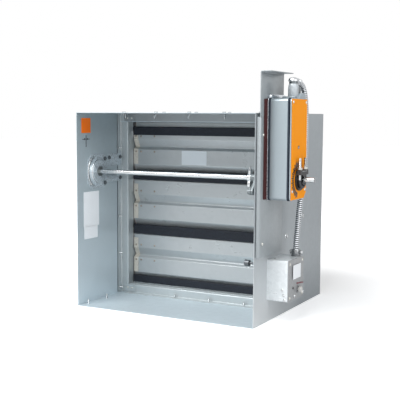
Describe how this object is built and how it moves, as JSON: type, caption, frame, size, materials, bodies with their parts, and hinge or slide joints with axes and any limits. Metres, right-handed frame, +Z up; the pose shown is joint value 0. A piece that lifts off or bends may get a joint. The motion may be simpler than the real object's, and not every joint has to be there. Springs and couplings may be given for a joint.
{
  "type": "combination fire smoke damper",
  "caption": "Square sleeved fire and smoke damper: parallel sealed blades in a hat-channel frame, turned by a jackshaft and a side-mounted spring-return actuator.",
  "frame": {"origin": "middle of the sleeve's underside", "axes": "+X across the duct towards the actuator, +Y along the duct away from the jackshaft's end, +Z up"},
  "size_m": [0.625, 0.4572, 0.605],
  "materials": {
    "sleeve_steel": "galvanised, satin",
    "frame_steel": "galvanised, satin",
    "blade_steel": "galvanised, satin",
    "seal_rubber": "matt",
    "spring_steel": "bright",
    "plated_steel": "zinc plated",
    "strap_steel": "satin",
    "shaft_steel": "plated, satin",
    "bush_bronze": "sintered, dull",
    "black_steel": "satin",
    "actuator_metal": "cast, satin",
    "base_metal": "satin",
    "gasket_rubber": "matt",
    "face_label": "satin",
    "motor_metal": "satin",
    "conduit_cover": "ribbed, satin",
    "connector_zinc": "die cast, satin",
    "box_steel": "galvanised, satin",
    "button_plastic": "gloss",
    "switch_plastic": "matt",
    "probe_steel": "polished"
  },
  "bodies": {
    "frame": {"sleeve_left_panel": "sleeve_steel", "sleeve_right_panel": "sleeve_steel", "sleeve_top_panel": "sleeve_steel", "sleeve_bottom_panel": "sleeve_steel", "frame_left_jamb": "frame_steel", "frame_right_jamb": "frame_steel", "frame_head": "frame_steel", "frame_sill": "frame_steel", "frame_screws": "plated_steel", "head_stop": "frame_steel", "sill_stop": "frame_steel", "sill_seal": "seal_rubber", "blade_bushes": "bush_bronze", "jamb_seals": "spring_steel", "shaft_bracket": "frame_steel", "bracket_bolts": "plated_steel", "shaft_bushes": "bush_bronze", "mounting_plate": "frame_steel", "panel_screws": "plated_steel", "actuator_base": "base_metal", "case_gaskets": "gasket_rubber", "actuator_body": "actuator_metal", "actuator_motor_unit": "motor_metal", "actuator_cover": "actuator_metal", "face_plate": "face_label", "sensor_box": "box_steel", "box_cover": "box_steel", "limit_switch": "switch_plastic", "heat_probe": "probe_steel", "flex_conduit": "conduit_cover", "conduit_connectors": "connector_zinc"},
    "blade_bottom": {"blade_bottom": "blade_steel", "end_straps_bottom": "strap_steel", "blade_seal_bottom": "seal_rubber", "saddles_bottom": "plated_steel", "axles_bottom": "shaft_steel"},
    "blade_middle": {"blade_middle": "blade_steel", "end_straps_middle": "strap_steel", "blade_seal_middle": "seal_rubber", "saddles_middle": "plated_steel", "axles_middle": "shaft_steel"},
    "blade_top": {"blade_top": "blade_steel", "end_straps_top": "strap_steel", "blade_seal_top": "seal_rubber", "saddles_top": "plated_steel", "axles_top": "shaft_steel", "drive_bracket": "plated_steel"},
    "jackshaft": {"jackshaft": "shaft_steel", "drive_crank": "black_steel", "crank_clamp": "plated_steel", "actuator_hub": "black_steel", "clamp_u_bolt": "shaft_steel", "clamp_jaws": "black_steel"},
    "drive_rod": {"drive_rod": "plated_steel"},
    "tie_bar": {"tie_bar": "plated_steel"},
    "reset_button": {"reset_button": "button_plastic"}
  },
  "joints": [
    {"name": "blade_top_hinge", "type": "hinge", "parent": "frame", "child": "blade_top", "pos_m": [0, 0.0229, 0.422], "axis": [1, 0, 0], "range_deg": [0, 90], "stiffness_Nm_per_rad": 1.6, "springref_deg": -45.84},
    {"name": "blade_middle_hinge", "type": "hinge", "parent": "frame", "child": "blade_middle", "pos_m": [0, 0.0229, 0.268], "axis": [1, 0, 0], "range_deg": [0, 90]},
    {"name": "blade_bottom_hinge", "type": "hinge", "parent": "frame", "child": "blade_bottom", "pos_m": [0, 0.0229, 0.114], "axis": [1, 0, 0], "range_deg": [0, 90]},
    {"name": "jackshaft_turn", "type": "hinge", "parent": "frame", "child": "jackshaft", "pos_m": [0, -0.1376, 0.351], "axis": [1, 0, 0], "range_deg": [0, 90]},
    {"name": "drive_rod_pivot", "type": "hinge", "parent": "jackshaft", "child": "drive_rod", "pos_m": [0.215, -0.16817, 0.31935], "axis": [1, 0, 0], "range_deg": [-90, 0]},
    {"name": "tie_bar_pivot", "type": "hinge", "parent": "blade_middle", "child": "tie_bar", "pos_m": [0.243, 0.0427, 0.2482], "axis": [1, 0, 0], "range_deg": [-90, 0]},
    {"name": "reset_push", "type": "slide", "parent": "frame", "child": "reset_button", "axis": [-1, 0, 0], "range_m": [0, 0.004], "stiffness_N_per_m": 300, "springref_m": -0.003}
  ],
  "couplings": [
    {"joint": "blade_middle_hinge", "follows": "blade_top_hinge", "ratio": 1},
    {"joint": "blade_bottom_hinge", "follows": "blade_top_hinge", "ratio": 1},
    {"joint": "jackshaft_turn", "follows": "blade_top_hinge", "ratio": 1},
    {"joint": "drive_rod_pivot", "follows": "blade_top_hinge", "ratio": -1},
    {"joint": "tie_bar_pivot", "follows": "blade_top_hinge", "ratio": -1}
  ]
}
